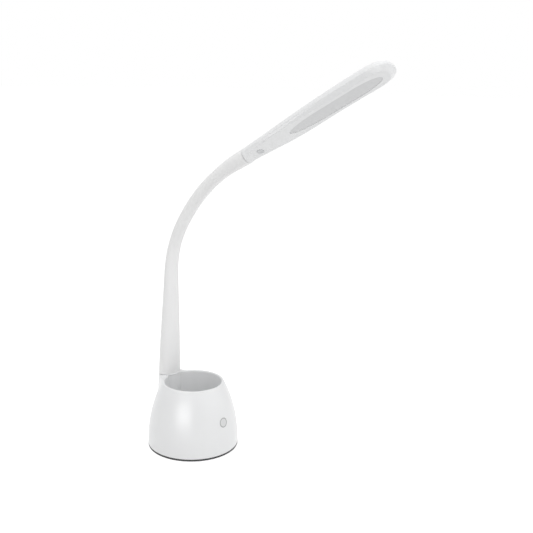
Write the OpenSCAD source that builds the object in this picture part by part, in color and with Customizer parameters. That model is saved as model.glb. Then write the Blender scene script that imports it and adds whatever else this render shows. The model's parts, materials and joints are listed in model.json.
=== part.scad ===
// Gooseneck desk lamp on a bell-shaped base with a pen cup in its top.
// Millimetres. The origin is the middle of the underside, the front looks along -Y,
// the arm rises at the back (+Y), and +Z is up.

/* [Base] */
// Radius of the base at the table
base_r = 60.3; // [58:0.1:64]
// Height of the cup's rim above the table
rim_z = 88.5; // [80:0.5:98]
// Height at which the bell starts to curve inwards
bell_start_z = 8; // [5:0.5:12]
// Wall of the white shell
shell_wall = 2.4; // [1.8:0.1:3]
// Thickness of the black bottom cover
cover_t = 4.3; // [3.8:0.1:5]
// Height of the black band that shows under the shell
cover_band = 2.4; // [1.6:0.1:3.2]
// How far the foot pad stands out below the cover
pad_proud = 0.8; // [0.5:0.1:1.2]
// Thickness of the foot pad
pad_t = 2; // [1.5:0.1:2.5]
// Thickness of the iron counterweight
weight_t = 10; // [8:0.5:11]
// Clearance between the iron counterweight and the screw posts
weight_gap = 2.9; // [1.9:0.1:7.9]

/* [Pen cup] */
// Inner radius of the cup
cup_r = 37.7; // [35:0.1:38]
// Wall of the cup
cup_wall = 1.8; // [1.4:0.1:2.2]
// Height of the cup's floor above the table
cup_floor_z = 26; // [24:0.5:40]
// Radius of the rounded lip
lip_r = 1.9; // [1.4:0.1:2.1]

/* [Boss] */
// Radius of the boss that carries the arm
boss_r = 14.9; // [14.8:0.1:16]
// Slope of the seam between boss and arm, high at the front
seam_slope = 12; // [0:1:16]

/* [Switches] */
// Radius of the touch button on the front of the base
touch_r = 6.7; // [5:0.1:9]
// Height of the touch button above the table
touch_z = 45; // [40:0.5:52]
// Radius of the push button under the head
button_r = 4.3; // [3.4:0.1:4.8]
// Distance of the push button from the head's seam
button_s = 22; // [20:0.5:28]
// How far the push button stands out
button_proud = 0.6; // [0.3:0.1:1]
// How far the push button travels
button_travel = 0.6; // [0.3:0.1:0.8]

/* [Power inlet] */
// Bore radius of the power inlet
inlet_r = 3.15; // [2.8:0.05:3.2]
// Height of the inlet's centre above the table
inlet_z = 12.5; // [11:0.5:14]

/* [Arm] */
// Distance of the arm's foot in from the edge of the base
arm_inset = 14.1; // [13.3:0.1:14.9]
// Height of the arm's foot above the table
arm_z = 88.2; // [86:0.1:90]
// Heading of the straight part, 90 is upright and more leans forward
arm_heading = 92; // [91:0.5:93]
// Length of the straight, tapered part
straight_len = 142.5; // [140:0.5:150]
// Centreline radius of the first bend
bend1_r = 132; // [122:1:150]
// Heading at the end of the first bend
bend1_heading = 120; // [119:1:121]
// Centreline radius of the second bend
bend2_r = 244; // [236:1:260]
// Length of the straight end in front of the head
end_len = 22; // [20:1:30]
// Radius of the sleeve at its foot
sleeve_foot_r = 14.6; // [13.6:0.1:14.8]
// Radius of the sleeve along its slim part
sleeve_slim_r = 8.2; // [7.6:0.1:9]
// Length over which the sleeve tapers
sleeve_taper = 185; // [170:5:200]
// Length over which the sleeve widens again towards the head
sleeve_flare = 66; // [50:2:80]
// Radius of the steel gooseneck inside the sleeve
core_r = 5; // [4:0.1:5.5]
// Bore radius of the gooseneck
core_bore_r = 2.2; // [1.6:0.1:2.6]
// Length of each stretch that flexes
flex_len = 44; // [40:1:46]

/* [Head] */
// Length of the head
head_len = 219; // [215:1:235]
// Tilt of the head above the horizontal
head_tilt = 28.3; // [27:0.1:30]
// Turn of the head about its own axis, underside towards the left
head_turn = 25; // [0:1:45]
// Half width of the head at its widest
head_half_w = 16; // [15:0.5:20]
// Radius of the round neck
neck_r = 10; // [9.9:0.1:11]
// Depth of the flat underside below the head's axis
flat_depth = 5.2; // [5:0.1:5.6]
// Height of the top above the head's axis
top_height = 10.9; // [10.5:0.1:13]
// Width of the chamfer along the sides
chamfer_w = 4.4; // [3:0.1:5]
// Height of the chamfer along the sides
chamfer_h = 4; // [3.6:0.1:4.6]
// Length of the chamfer at the tip
chamfer_tip = 5.5; // [5:0.5:9]
// Length of the rounded tip
tip_len = 28.5; // [26:0.5:36]
// Fullness of the tip's outline, 2 is an ellipse
tip_power = 2.4; // [2:0.1:2.8]

/* [Light] */
// Half width of the diffuser
lens_half_w = 8; // [6:0.2:8.6]
// Where the pointed end of the diffuser starts
lens_start = 71; // [68:1:80]
// Length of the diffuser
lens_len = 133; // [120:1:136]
// Length of its pointed end
lens_point = 50; // [40:1:60]
// Length of its round end
lens_round = 36; // [24:1:44]
// How far the diffuser lies below the flat underside
lens_recess = 0.3; // [0.1:0.1:0.6]
// Number of light chips
chip_count = 22; // [12:1:26]

/* [Hidden] */

// Common values
eps = 0.01;
gap = 0.3;          // gap between loose neighbours
slip = 0.1;         // radial clearance of a seated piece
round_fn = 96;
small_fn = 48;
deg_per_rad = 180 / PI;

// Base, from the table upwards
cover_z = pad_proud;
cover_top = cover_z + cover_t;
band_top = cover_z + cover_band;
pad_r = base_r - 3;
arm_y = base_r - arm_inset;
spigot_r = base_r - shell_wall - slip;
post_ring_r = base_r - 9;
post_r = 3.4;
post_h = 20;
rib_t = 2;
screw_len = 9;
boss_start_z = 30;
screw_r = 1.5;
screw_head_r = 2.8;
screw_head_t = 1.6;
weight_z = cover_top;
weight_top = weight_z + weight_t;
weight_r = post_ring_r - post_r - weight_gap;
board_t = 1.6;
spacer_h = 2;
spacer_r = 2.4;
driver_z = weight_top + spacer_h;
driver_w = 44;
driver_d = 40;
cup_floor_t = 2;
shell_lip_z = rim_z - lip_r;
lip_step = 0.15;
// The bell's arc starts upright at the base and ends under the cup's lip
shell_top_r = cup_r + 2 * lip_r + lip_step;
bell_rise = shell_lip_z - bell_start_z;
bell_in = base_r - shell_top_r;
bell_curve_r = (pow(bell_in, 2) + pow(bell_rise, 2)) / (2 * bell_in);
bell_axis_r = base_r - bell_curve_r;

// Inlet
inlet_wall = 1.35;
inlet_body_r = inlet_r + inlet_wall;
inlet_depth = 9;
inlet_len = 11.5;
inlet_pin_r = 1;
inlet_face_y = arm_y + boss_r - 0.8;

// Touch button, square to the bell's surface
touch_tilt = asin((touch_z - bell_start_z) / bell_curve_r);
touch_y = bell_axis_r + bell_curve_r * cos(touch_tilt);
touch_board_r = touch_r + 2.5;
// The board lies flat behind the wall's curve
touch_wall_r = touch_y - shell_wall;
touch_sag = touch_wall_r - sqrt(pow(touch_wall_r, 2) - pow(touch_board_r, 2));
touch_t = shell_wall + touch_sag + gap;

// Arm: lengths along its centreline
bend1_len = bend1_r * (bend1_heading - arm_heading) / deg_per_rad;
end_heading = 180 - head_tilt;
bend2_len = bend2_r * (end_heading - bend1_heading) / deg_per_rad;
bend1_s = straight_len;
bend2_s = bend1_s + bend1_len;
end_s = bend2_s + bend2_len;
arm_len = end_s + end_len;
seam_gap = 0.4;
butt_gap = 0.02;
sleeve_sides = 32;
sleeve_step = 8;
skin_fn = 64;
socket_r = 7;
socket_low = -34;
socket_top = -2;
plate_s = -8;
washer_t = 1.5;
nut_t = 6;
nut_r = 10.5;
boss_bore_r = 12.2;
lead_r = 1.6;
// Each flexing stretch lies on one straight or one bend
mid_offset = 15;
hinge_side_s = bend1_s - flex_len / 2;
hinge_low_s = bend2_s - flex_len / 2;
hinge_mid_s = bend2_s + mid_offset + flex_len / 2;
hinge_high_s = end_s - flex_len / 2;
// The stretches that flex, each as [start, end]
function flex_span(s) = [s - flex_len / 2, s + flex_len / 2];
side_span = flex_span(hinge_side_s);
low_span = flex_span(hinge_low_s);
mid_span = flex_span(hinge_mid_s);
high_span = flex_span(hinge_high_s);
foot_low = -boss_r / 2;

// Head, along its own axis
head_start = seam_gap;
tip_s = head_len - tip_len;
widen_len = 150;
flat_len = 12;
chamfer_from = 60;
chamfer_full = 150;
neck_chamfer_w = 1.6;
neck_chamfer_h = 4.6;
slim_chamfer_w = 0.7;
crown_r = 8.5;
tip_chamfer_h = 5.2;
tip_crown = 13;
tip_drop = 1.5;
part_v = -1.2;
part_over = 0.3;
neck_chord = 1.2;
head_levels = 11;
crease_level = 3;   // where the chamfer meets the side
part_level = 4;     // where the two shells meet
side_level = 5;     // where the crown starts
// Angles of the same levels on the round neck
neck_angles = [-78, -62, -46, -32, -18, -6, 14, 34, 53, 72, 90];
head_stations = concat(
    [head_start],
    [for (i = [1 : 4]) flat_len * i / 4],
    [for (i = [1 : 12]) flat_len + (tip_s - flat_len) * i / 12]
);
tip_angles = [10 : 10 : 80];
bush_r = 6.4;
bush_start = 1;
bush_len = 5;
core_in_head = bush_start + bush_len;
ring_t = 0.3;
pocket_start = 12.5;
pocket_end = 58;
pocket_half_w = 6.2;
pocket_low = -1.6;
pocket_high = 5.2;
led_t = 1.2;
led_low = 0.5;
spreader_t = 1.5;
cavity_high = led_low + led_t + spreader_t;
flange_low = -2.6;
flange_t = 1.2;
flange_w = 1.2;
led_inset = 1;
spreader_inset = 1.4;
spreader_start = 84;
chip_size = 2.8;
chip_t = 0.8;
chip_x = 3.2;
chip_first = 94;
chip_last = 188;
head_screw_s = [98.7, 141, 183.3];
lens_screw_r = 0.8;
lead_v = led_low + led_t + lead_r;
lead_rise_s = 14.4;
lead_end_s = 82;
switch_board_v = 3.4;
switch_board_end = 46;
button_flange_t = 1;
plunger_v = pocket_low + slip + button_flange_t + button_travel + slip;

white = "#f4f4f2";
black = "#17181a";
grey = "#c9cacb";
steel = "#9fa3a6";
green = "#2f6b45";

// ---------- curves ----------

// Eases from 0 to 1 as t goes from 0 to 1
function ease(t) = let (c = min(1, max(0, t))) c * c * (3 - 2 * c);
function mix(a, b, t) = a + (b - a) * t;
function heading_dir(h) = [cos(h), sin(h)];
function turn(p, r, h1, h2) = p + r * [sin(h2) - sin(h1), cos(h1) - cos(h2)];

bend1_start = [arm_y, arm_z] + straight_len * heading_dir(arm_heading);
bend2_start = turn(bend1_start, bend1_r, arm_heading, bend1_heading);
end_start = turn(bend2_start, bend2_r, bend1_heading, end_heading);

// Heading of the arm at a length s from its foot
function arm_h(s) =
    s < bend1_s ? arm_heading :
    s < bend2_s ? arm_heading + (s - bend1_s) / bend1_r * deg_per_rad :
    s < end_s ? bend1_heading + (s - bend2_s) / bend2_r * deg_per_rad :
    end_heading;

// Point of the arm's centreline, as [y, z]
function arm_p(s) =
    s < bend1_s ? [arm_y, arm_z] + s * heading_dir(arm_heading) :
    s < bend2_s ? turn(bend1_start, bend1_r, arm_heading, arm_h(s)) :
    s < end_s ? turn(bend2_start, bend2_r, bend1_heading, arm_h(s)) :
    end_start + (s - end_s) * heading_dir(end_heading);

// Radius of the sleeve at s: a taper from the foot and a flare at the head
function sleeve_r(s) =
    let (
        t = min(1, max(0, s) / sleeve_taper),
        taper = (1 - t) / 2 + (1 + cos(180 * t)) / 4,
        f = (s - arm_len + sleeve_flare) / sleeve_flare
    )
    sleeve_slim_r + (sleeve_foot_r - sleeve_slim_r) * taper + (neck_r - sleeve_slim_r) * ease(f);

// ---------- placing ----------

// Puts children at s on the arm: local +Z runs along the arm, local +Y is its upper side
module at_arm(s) {
    p = arm_p(s);
    translate([0, p[0], p[1]]) rotate([arm_h(s) - 90, 0, 0]) children();
}

// Puts children in the head's frame: +Z along the head, -Y square to its underside
module at_head() {
    at_arm(arm_len) rotate([0, 0, -head_turn]) children();
}

// Extrudes a plan of the head, drawn as [across, along], between two heights
module head_plan(low, high) {
    translate([0, high, 0]) rotate([90, 0, 0]) linear_extrude(high - low) children();
}

module tube(outer, inner, h) {
    difference() {
        cylinder(r = outer, h = h, $fn = round_fn);
        translate([0, 0, -eps]) cylinder(r = inner, h = h + 2 * eps, $fn = round_fn);
    }
}

// ---------- solids made from rings of points ----------

function ring_faces(count, n) = [
    for (i = [0 : count - 2], k = [0 : n - 1])
        let (a = i * n + k, b = i * n + (k + 1) % n)
        each [[a, b, b + n], [a, b + n, a + n]]
];

module loft(rings) {
    n = len(rings[0]);
    count = len(rings);
    caps = [
        [for (k = [n - 1 : -1 : 0]) k],
        [for (k = [0 : n - 1]) (count - 1) * n + k]
    ];
    polyhedron([for (r = rings) each r], concat(ring_faces(count, n), caps));
}

// ---------- arm ----------

function sleeve_ring(s) =
    let (p = arm_p(s), h = arm_h(s), r = sleeve_r(s))
    [for (k = [0 : sleeve_sides - 1])
        let (a = 360 * k / sleeve_sides, u = r * sin(a))
        [r * cos(a), p[0] - u * sin(h), p[1] + u * cos(h)]];

// Tapered skin on the straight stretch, as one turned profile
module skin_straight(s1, s2) {
    steps = max(1, ceil((s2 - s1) / sleeve_step));
    at_arm(s1) rotate_extrude($fn = skin_fn)
        polygon(concat(
            [[0, 0]],
            [for (i = [0 : steps]) let (s = mix(s1, s2, i / steps)) [sleeve_r(s), s - s1]],
            [[0, s2 - s1]]
        ));
}

// Tapered skin along the bends
module skin_bent(s1, s2) {
    steps = max(1, ceil((s2 - s1) / sleeve_step));
    loft([for (i = [0 : steps]) sleeve_ring(mix(s1, s2, i / steps))]);
}

module skin(s1, s2) {
    if (s2 <= bend1_s + eps || s1 >= end_s - eps) skin_straight(s1, s2);
    else skin_bent(s1, s2);
}

// Round bar of one radius along a bend from s1 over a length, and on by `over` at both ends
module bent_bar(s1, length, bend_r, bar_r, over) {
    h = arm_h(s1);
    centre = arm_p(s1) + bend_r * [-sin(h), cos(h)];
    more = over / bend_r * deg_per_rad;
    translate([0, centre[0], centre[1]]) rotate([90, 0, 90]) rotate([0, 0, h - 90 - more])
        rotate_extrude(angle = length / bend_r * deg_per_rad + 2 * more, $fn = round_fn)
            translate([bend_r, 0]) circle(r = bar_r, $fn = small_fn);
}

// Round bar of one radius along a stretch that lies on one straight or one bend
module bar(s1, s2, bar_r, over = 0) {
    mid = (s1 + s2) / 2;
    if (mid < bend1_s || mid > end_s)
        at_arm(s1) translate([0, 0, -over]) cylinder(r = bar_r, h = s2 - s1 + 2 * over, $fn = small_fn);
    else
        bent_bar(s1, s2 - s1, mid < bend2_s ? bend1_r : bend2_r, bar_r, over);
}

// The stretches stand a hair apart
module sleeve(s1, s2) {
    color(white) difference() {
        skin(s1 + butt_gap / 2, s2 - butt_gap / 2);
        bar(s1, s2, core_r + slip, 1);
    }
}

module core(s1, s2) {
    color(steel) difference() {
        bar(s1 + butt_gap / 2, s2 - butt_gap / 2, core_r);
        bar(s1, s2, core_bore_r, 1);
    }
}

module sleeve_foot() {
    color(white) difference() {
        skin_straight(foot_low, side_span[0] - butt_gap / 2);
        bar(foot_low, side_span[0], core_r + slip, 1);
        boss_space(-seam_gap);
    }
}

module core_foot() { core(socket_low, side_span[0]); }
module sleeve_flex_side() { sleeve(side_span[0], side_span[1]); }
module core_flex_side() { core(side_span[0], side_span[1]); }
module sleeve_low() { sleeve(side_span[1], low_span[0]); }
module core_low() { core(side_span[1], low_span[0]); }
module sleeve_flex_low() { sleeve(low_span[0], low_span[1]); }
module core_flex_low() { core(low_span[0], low_span[1]); }
module sleeve_mid() { sleeve(low_span[1], mid_span[0]); }
module core_mid() { core(low_span[1], mid_span[0]); }
module sleeve_flex_mid() { sleeve(mid_span[0], mid_span[1]); }
module core_flex_mid() { core(mid_span[0], mid_span[1]); }
module sleeve_high() { sleeve(mid_span[1], high_span[0]); }
module core_high() { core(mid_span[1], high_span[0]); }
module sleeve_flex_high() { sleeve(high_span[0], high_span[1]); }
module core_flex_high() { core(high_span[0], high_span[1]); }
module sleeve_end() { sleeve(high_span[1], arm_len); }
module core_end() { core(high_span[1], arm_len + core_in_head); }

// Dark ring in the groove between the arm and the head
module neck_ring() {
    color(black) at_arm(arm_len + (seam_gap - ring_t) / 2) tube(neck_r - 0.6, core_r + slip, ring_t);
}

// ---------- boss and what anchors the arm ----------

// Everything under the seam's sloping plane, shifted along its normal
module boss_space(shift) {
    size = 8 * boss_r;
    translate([0, arm_y, arm_z]) rotate([-seam_slope, 0, 0])
        translate([-size / 2, -size / 2, -size - shift]) cube(size);
}

module boss_solid(low) {
    intersection() {
        translate([0, arm_y, low]) cylinder(r = boss_r, h = rim_z + boss_r - low, $fn = round_fn);
        boss_space(0);
    }
}

module arm_socket() {
    color(steel) at_arm(socket_low)
        tube(socket_r, core_r + slip / 2, socket_top - socket_low);
}

module arm_washer() {
    color(steel) at_arm(plate_s - washer_t) tube(boss_bore_r - 0.8, socket_r + slip, washer_t);
}

module arm_nut() {
    color(steel) at_arm(plate_s - washer_t - nut_t) difference() {
        cylinder(r = nut_r, h = nut_t, $fn = 6);
        translate([0, 0, -eps]) cylinder(r = socket_r + slip / 2, h = nut_t + 1, $fn = small_fn);
    }
}

// Lead from the driver board up into the gooseneck
module arm_lead() {
    top = arm_p(socket_low);
    low = driver_z + board_t + lead_r;
    start = driver_d / 2 - 6;
    color(black) {
        translate([0, start, low]) rotate([-90, 0, 0])
            cylinder(r = lead_r, h = top[0] - start, $fn = small_fn);
        translate([0, top[0], low]) sphere(r = lead_r, $fn = small_fn);
        translate([0, top[0], low]) cylinder(r = lead_r, h = top[1] - low + 6, $fn = small_fn);
    }
}

// ---------- base ----------

// Half profile of the bell grown inwards by `inset`
module bell_profile(inset, low, high) {
    intersection() {
        translate([bell_axis_r, bell_start_z]) circle(r = bell_curve_r - inset, $fn = 360);
        translate([0, bell_start_z - eps]) square([base_r, high - bell_start_z + eps]);
    }
    translate([0, low]) square([base_r - inset, bell_start_z - low]);
}

module bell(inset, low, high) {
    rotate_extrude($fn = round_fn * 2) bell_profile(inset, low, high);
}

// Plan of the cup's hollow: a circle that the boss pushes into
module cup_plan(grow) {
    difference() {
        circle(r = cup_r + grow, $fn = round_fn);
        translate([0, arm_y]) circle(r = boss_r - grow, $fn = round_fn);
    }
}

module touch_place() {
    translate([0, -touch_y, touch_z]) rotate([90 - touch_tilt, 0, 0]) children();
}

module inlet_place() {
    translate([0, inlet_face_y, inlet_z]) rotate([90, 0, 0]) children();
}

module posts(r, low, h) {
    for (a = [45 : 90 : 315])
        rotate([0, 0, a]) translate([post_ring_r, 0, low]) cylinder(r = r, h = h, $fn = small_fn);
}

// Ribs that tie the screw posts to the wall
module post_ribs(low, h) {
    for (a = [45 : 90 : 315])
        rotate([0, 0, a]) translate([post_ring_r, -rib_t / 2, low])
            cube([base_r - post_ring_r, rib_t, h]);
}

// Bore under the boss that takes the nut: its top is square to the arm
module boss_bore() {
    size = 2 * arm_z;
    intersection() {
        translate([0, arm_y, band_top]) cylinder(r = boss_bore_r, h = arm_z, $fn = round_fn);
        at_arm(plate_s) translate([-size / 2, -size / 2, -size]) cube(size);
    }
}

// Room for the cup's liner
module cup_room() {
    translate([0, 0, -eps]) linear_extrude(rim_z - lip_r + eps) cup_plan(cup_wall + slip);
}

module base_shell() {
    color(white) difference() {
        union() {
            difference() {
                bell(0, band_top, shell_lip_z);
                bell(shell_wall, band_top - 1, shell_lip_z + 1);
                cup_room();
            }
            difference() {
                boss_solid(band_top);
                bell(shell_wall, band_top - 1, boss_start_z);
                cup_room();
            }
            intersection() {
                bell(shell_wall / 2, band_top, shell_lip_z);
                union() {
                    posts(post_r, cover_top + slip, post_h);
                    post_ribs(cover_top + slip, post_h);
                }
            }
        }
        posts(screw_r, 0, cover_top + screw_len);
        boss_bore();
        at_arm(plate_s - 1) cylinder(r = socket_r + slip, h = socket_top - plate_s + 1, $fn = small_fn);
        at_arm(plate_s) cylinder(r = core_r + slip, h = rim_z, $fn = small_fn);
        touch_place() translate([0, 0, -2 * touch_t])
            cylinder(r = touch_r + slip, h = 4 * touch_t, $fn = small_fn);
        inlet_place() translate([0, 0, -inlet_len])
            cylinder(r = inlet_body_r + slip, h = 2 * inlet_len, $fn = small_fn);
    }
}

module pen_cup() {
    depth = rim_z - cup_floor_z;
    color(white) {
        difference() {
            translate([0, 0, cup_floor_z - cup_floor_t])
                linear_extrude(depth + cup_floor_t - lip_r) cup_plan(cup_wall);
            translate([0, 0, cup_floor_z]) linear_extrude(depth) cup_plan(0);
        }
        difference() {
            translate([0, 0, rim_z - lip_r]) rotate_extrude($fn = round_fn)
                translate([cup_r + lip_r, 0]) intersection() {
                    circle(r = lip_r, $fn = small_fn);
                    translate([-lip_r, 0]) square([2 * lip_r, lip_r]);
                }
            translate([0, arm_y, 0]) cylinder(r = boss_r + slip, h = 2 * rim_z, $fn = round_fn);
        }
    }
}

module bottom_cover() {
    color(black) difference() {
        union() {
            translate([0, 0, cover_z]) cylinder(r = base_r, h = cover_band, $fn = round_fn);
            translate([0, 0, cover_z]) cylinder(r = spigot_r, h = cover_t, $fn = round_fn);
        }
        translate([0, 0, -eps]) cylinder(r = pad_r + slip, h = pad_t + eps, $fn = round_fn);
        posts(screw_r + slip, 0, cover_top + 1);
        posts(screw_head_r + slip, 0, pad_t + screw_head_t);
    }
}

module foot_pad() {
    color(black) cylinder(r = pad_r, h = pad_t, $fn = round_fn);
}

module cover_screws() {
    color(steel) {
        posts(screw_head_r, pad_t + slip, screw_head_t - slip);
        posts(screw_r - 0.02, pad_t + screw_head_t - eps, screw_len);
    }
}

module counterweight() {
    color(steel) translate([0, 0, weight_z]) cylinder(r = weight_r, h = weight_t, $fn = round_fn);
}

// Its face follows the bell
module touch_button() {
    color(white) intersection() {
        touch_place() translate([0, 0, -touch_t]) cylinder(r = touch_r, h = 2 * touch_t, $fn = small_fn);
        bell(0, band_top, shell_lip_z);
    }
}

module touch_board() {
    color(green) touch_place() translate([0, 0, -touch_t - board_t])
        cylinder(r = touch_board_r, h = board_t, $fn = small_fn);
}

module board_spacers() {
    color(white) for (x = [-1, 1], y = [-1, 1])
        translate([x * (driver_w / 2 - 4), y * (driver_d / 2 - 4), weight_top])
            cylinder(r = spacer_r, h = spacer_h, $fn = small_fn);
}

module driver_board() {
    top = driver_z + board_t;
    color(green) translate([-driver_w / 2, -driver_d / 2, driver_z]) cube([driver_w, driver_d, board_t]);
    color(black) {
        translate([-18, -9, top]) cube([14, 12, 2]);
        translate([5, -12, top]) cube([10, 9, 1.6]);
    }
}

module inlet_jack() {
    color(black) inlet_place() {
        difference() {
            cylinder(r = inlet_body_r, h = inlet_len, $fn = small_fn);
            translate([0, 0, -eps]) cylinder(r = inlet_r, h = inlet_depth, $fn = small_fn);
        }
        cylinder(r = inlet_pin_r, h = inlet_len - 1, $fn = 24);
    }
}

// ---------- head ----------

function half_width(s) =
    mix(neck_r, head_half_w, pow(sin(90 * min(1, max(0, s) / widen_len)), 1.3));
function chamfer_across(s) = s < chamfer_from
    ? mix(neck_chamfer_w, slim_chamfer_w, ease((s - flat_len) / (chamfer_from - flat_len)))
    : mix(slim_chamfer_w, chamfer_w, ease((s - chamfer_from) / (chamfer_full - chamfer_from)));
function chamfer_up(s) = s < chamfer_from
    ? mix(neck_chamfer_h, slim_chamfer_w, ease((s - flat_len) / (chamfer_from - flat_len)))
    : mix(slim_chamfer_w, chamfer_h, ease((s - chamfer_from) / (chamfer_full - chamfer_from)));
function top_v(s) = mix(neck_r, top_height, ease(s / widen_len));
function crown_across(s) = mix(neck_r, 0.75 * head_half_w, ease(s / widen_len));
function crown_up(s) = mix(neck_r, crown_r, ease(s / widen_len));

function crown_angle(j) = (j - side_level) * 90 / (head_levels - 1 - side_level);

// Level j of the head at s on its side, as [across, up]
function side_point(j, s) =
    let (
        w = half_width(s), cw = chamfer_across(s), ch = chamfer_up(s), t = top_v(s),
        a = crown_angle(j), ra = crown_across(s), ru = crown_up(s), side_v = t - ru,
        crease_v = -flat_depth + ch,
        seam_v = max(crease_v + part_over, part_v),
        body = j <= crease_level ? [w - cw * (1 - j / crease_level), -flat_depth + ch * j / crease_level] :
            j == part_level ? [w, seam_v] :
            [w - ra * (1 - cos(a)), max(side_v, seam_v + part_over) * (1 - sin(a)) + t * sin(a)],
        neck = [max(neck_chord, neck_r * cos(neck_angles[j])), neck_r * sin(neck_angles[j])]
    )
    mix(neck, body, ease(s / flat_len));

// Level j of the head at an angle a round its tip, as [across, along, up]
function tip_point(j, a) =
    let (
        side = side_point(j, tip_s),
        rise = crown_angle(j),
        back = j <= crease_level ? chamfer_tip * (1 - j / crease_level) :
            j == part_level ? 0 : tip_crown * (1 - cos(rise)),
        front_v = j <= crease_level ? -flat_depth + tip_chamfer_h * j / crease_level :
            j == part_level ? -flat_depth + tip_chamfer_h + part_over :
            top_height - tip_drop - crown_r * (1 - sin(rise))
    )
    [
        side[0] * pow(cos(a), 2 / tip_power),
        tip_s + (tip_len - back) * pow(sin(a), 2 / tip_power),
        mix(side[1], front_v, pow(sin(a), 2))
    ];

// Points of one level from the neck round the tip and back, as [across, up, along]
function level_ring(j) =
    let (
        sides = [for (s = head_stations) let (p = side_point(j, s)) [p[0], p[1], s]],
        tip = [for (a = tip_angles) let (p = tip_point(j, a)) [p[0], p[2], p[1]]],
        nose = let (p = tip_point(j, 90)) [[0, p[2], p[1]]],
        half = concat(sides, tip)
    )
    concat(half, nose, [for (i = [len(half) - 1 : -1 : 0]) [-half[i][0], half[i][1], half[i][2]]]);

// Closes a ring across the head in strips, so that it needn't be flat
function strip_faces(first, n, flip) = [
    for (i = [0 : (n - 1) / 2 - 1])
        let (a = first + i, b = first + i + 1, c = first + n - 2 - i, d = first + n - 1 - i)
        each (i == (n - 1) / 2 - 1
            ? [flip ? [a, b, d] : [d, b, a]]
            : [flip ? [a, b, c] : [c, b, a], flip ? [a, c, d] : [d, c, a]])
];

module head_solid(first, last) {
    rings = [for (j = [first : last]) level_ring(j)];
    n = len(rings[0]);
    count = len(rings);
    polyhedron(
        [for (r = rings) each r],
        concat(ring_faces(count, n), strip_faces(0, n, false), strip_faces((count - 1) * n, n, true))
    );
}

// Outline of the diffuser grown by `grow`, pointed towards the neck
module lens_plan(grow) {
    w = lens_half_w + grow;
    point_l = lens_point + 1.5 * grow;
    round_l = lens_round + grow;
    s1 = lens_start + lens_point;
    s2 = lens_start + lens_len - lens_round;
    steps = 14;
    half = concat(
        [for (i = [0 : steps]) let (a = 90 * i / steps) [w * sin(a), s1 - point_l * cos(a)]],
        [for (i = [0 : steps]) let (a = 90 * i / steps)
            [w * pow(cos(a), 0.9), s2 + round_l * pow(sin(a), 0.95)]]
    );
    polygon(concat(half, [for (i = [len(half) - 2 : -1 : 1]) [-half[i][0], half[i][1]]]));
}

// Hollows that the two head shells share
module head_hollow() {
    translate([0, 0, -1]) cylinder(r = core_r + slip, h = core_in_head + 1.2, $fn = small_fn);
    translate([0, 0, bush_start]) cylinder(r = bush_r, h = bush_len + 0.2, $fn = small_fn);
    translate([0, 0, core_in_head])
        cylinder(r = lead_r + slip, h = pocket_start - core_in_head + 1, $fn = small_fn);
    head_plan(pocket_low, pocket_high)
        translate([-pocket_half_w, pocket_start]) square([2 * pocket_half_w, pocket_end - pocket_start]);
    translate([0, lead_v, pocket_end - 1])
        cylinder(r = lead_r + slip, h = lead_end_s - pocket_end + 2, $fn = small_fn);
    head_plan(flange_low, cavity_high) lens_plan(flange_w + slip);
}

module head_top_shell() {
    color(white) at_head() difference() {
        head_solid(part_level, head_levels - 1);
        head_hollow();
        for (s = head_screw_s)
            translate([0, cavity_high - 1, s]) rotate([-90, 0, 0]) cylinder(r = lens_screw_r, h = 5, $fn = 24);
    }
}

module head_bottom_shell() {
    color(white) at_head() difference() {
        head_solid(0, part_level);
        head_hollow();
        head_plan(-flat_depth - 1, 0) lens_plan(slip);
        translate([0, -flat_depth - 1, button_s]) rotate([-90, 0, 0])
            cylinder(r = button_r + slip, h = flat_depth, $fn = small_fn);
    }
}

module diffuser() {
    color(grey) at_head() {
        head_plan(-flat_depth + lens_recess, flange_low) lens_plan(0);
        head_plan(flange_low, flange_low + flange_t) lens_plan(flange_w);
    }
}

module lens_screw_holes() {
    for (s = head_screw_s)
        translate([0, led_low - 1, s]) rotate([-90, 0, 0]) cylinder(r = lens_screw_r + slip, h = 5, $fn = 24);
}

module led_board() {
    color(white) at_head() difference() {
        head_plan(led_low, led_low + led_t) lens_plan(-led_inset);
        lens_screw_holes();
    }
}

module led_chips() {
    rows = chip_count / 2;
    color("#f2e6a0") at_head() for (i = [0 : rows - 1], x = [-chip_x, chip_x])
        translate([x, led_low - chip_t / 2, mix(chip_first, chip_last, i / (rows - 1))])
            cube([chip_size, chip_t, chip_size], center = true);
}

module heat_spreader() {
    color(steel) at_head() difference() {
        head_plan(led_low + led_t, cavity_high) intersection() {
            lens_plan(-spreader_inset);
            translate([-head_half_w, spreader_start]) square([2 * head_half_w, head_len]);
        }
        lens_screw_holes();
    }
}

module head_screws() {
    color(steel) at_head() for (s = head_screw_s) translate([0, led_low, s]) rotate([-90, 0, 0]) {
        translate([0, 0, -chip_t]) cylinder(r = 2 * lens_screw_r, h = chip_t, $fn = 24);
        translate([0, 0, -eps]) cylinder(r = lens_screw_r - 0.02, h = 6, $fn = 24);
    }
}

module neck_bush() {
    color(grey) at_head() translate([0, 0, bush_start]) tube(bush_r - slip / 2, core_r + slip / 2, bush_len);
}

module switch_board() {
    start = pocket_start + 0.5;
    at_head() {
        color(green) head_plan(switch_board_v, switch_board_v + board_t)
            translate([0.7 - pocket_half_w, start])
                square([2 * pocket_half_w - 1.4, switch_board_end - start]);
        color(black) head_plan(plunger_v + 0.9, switch_board_v)
            translate([-3, button_s - 3]) square(6);
        color(black) translate([0, plunger_v, button_s]) rotate([-90, 0, 0])
            cylinder(r = 1.75, h = 1, $fn = small_fn);
    }
}

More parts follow.
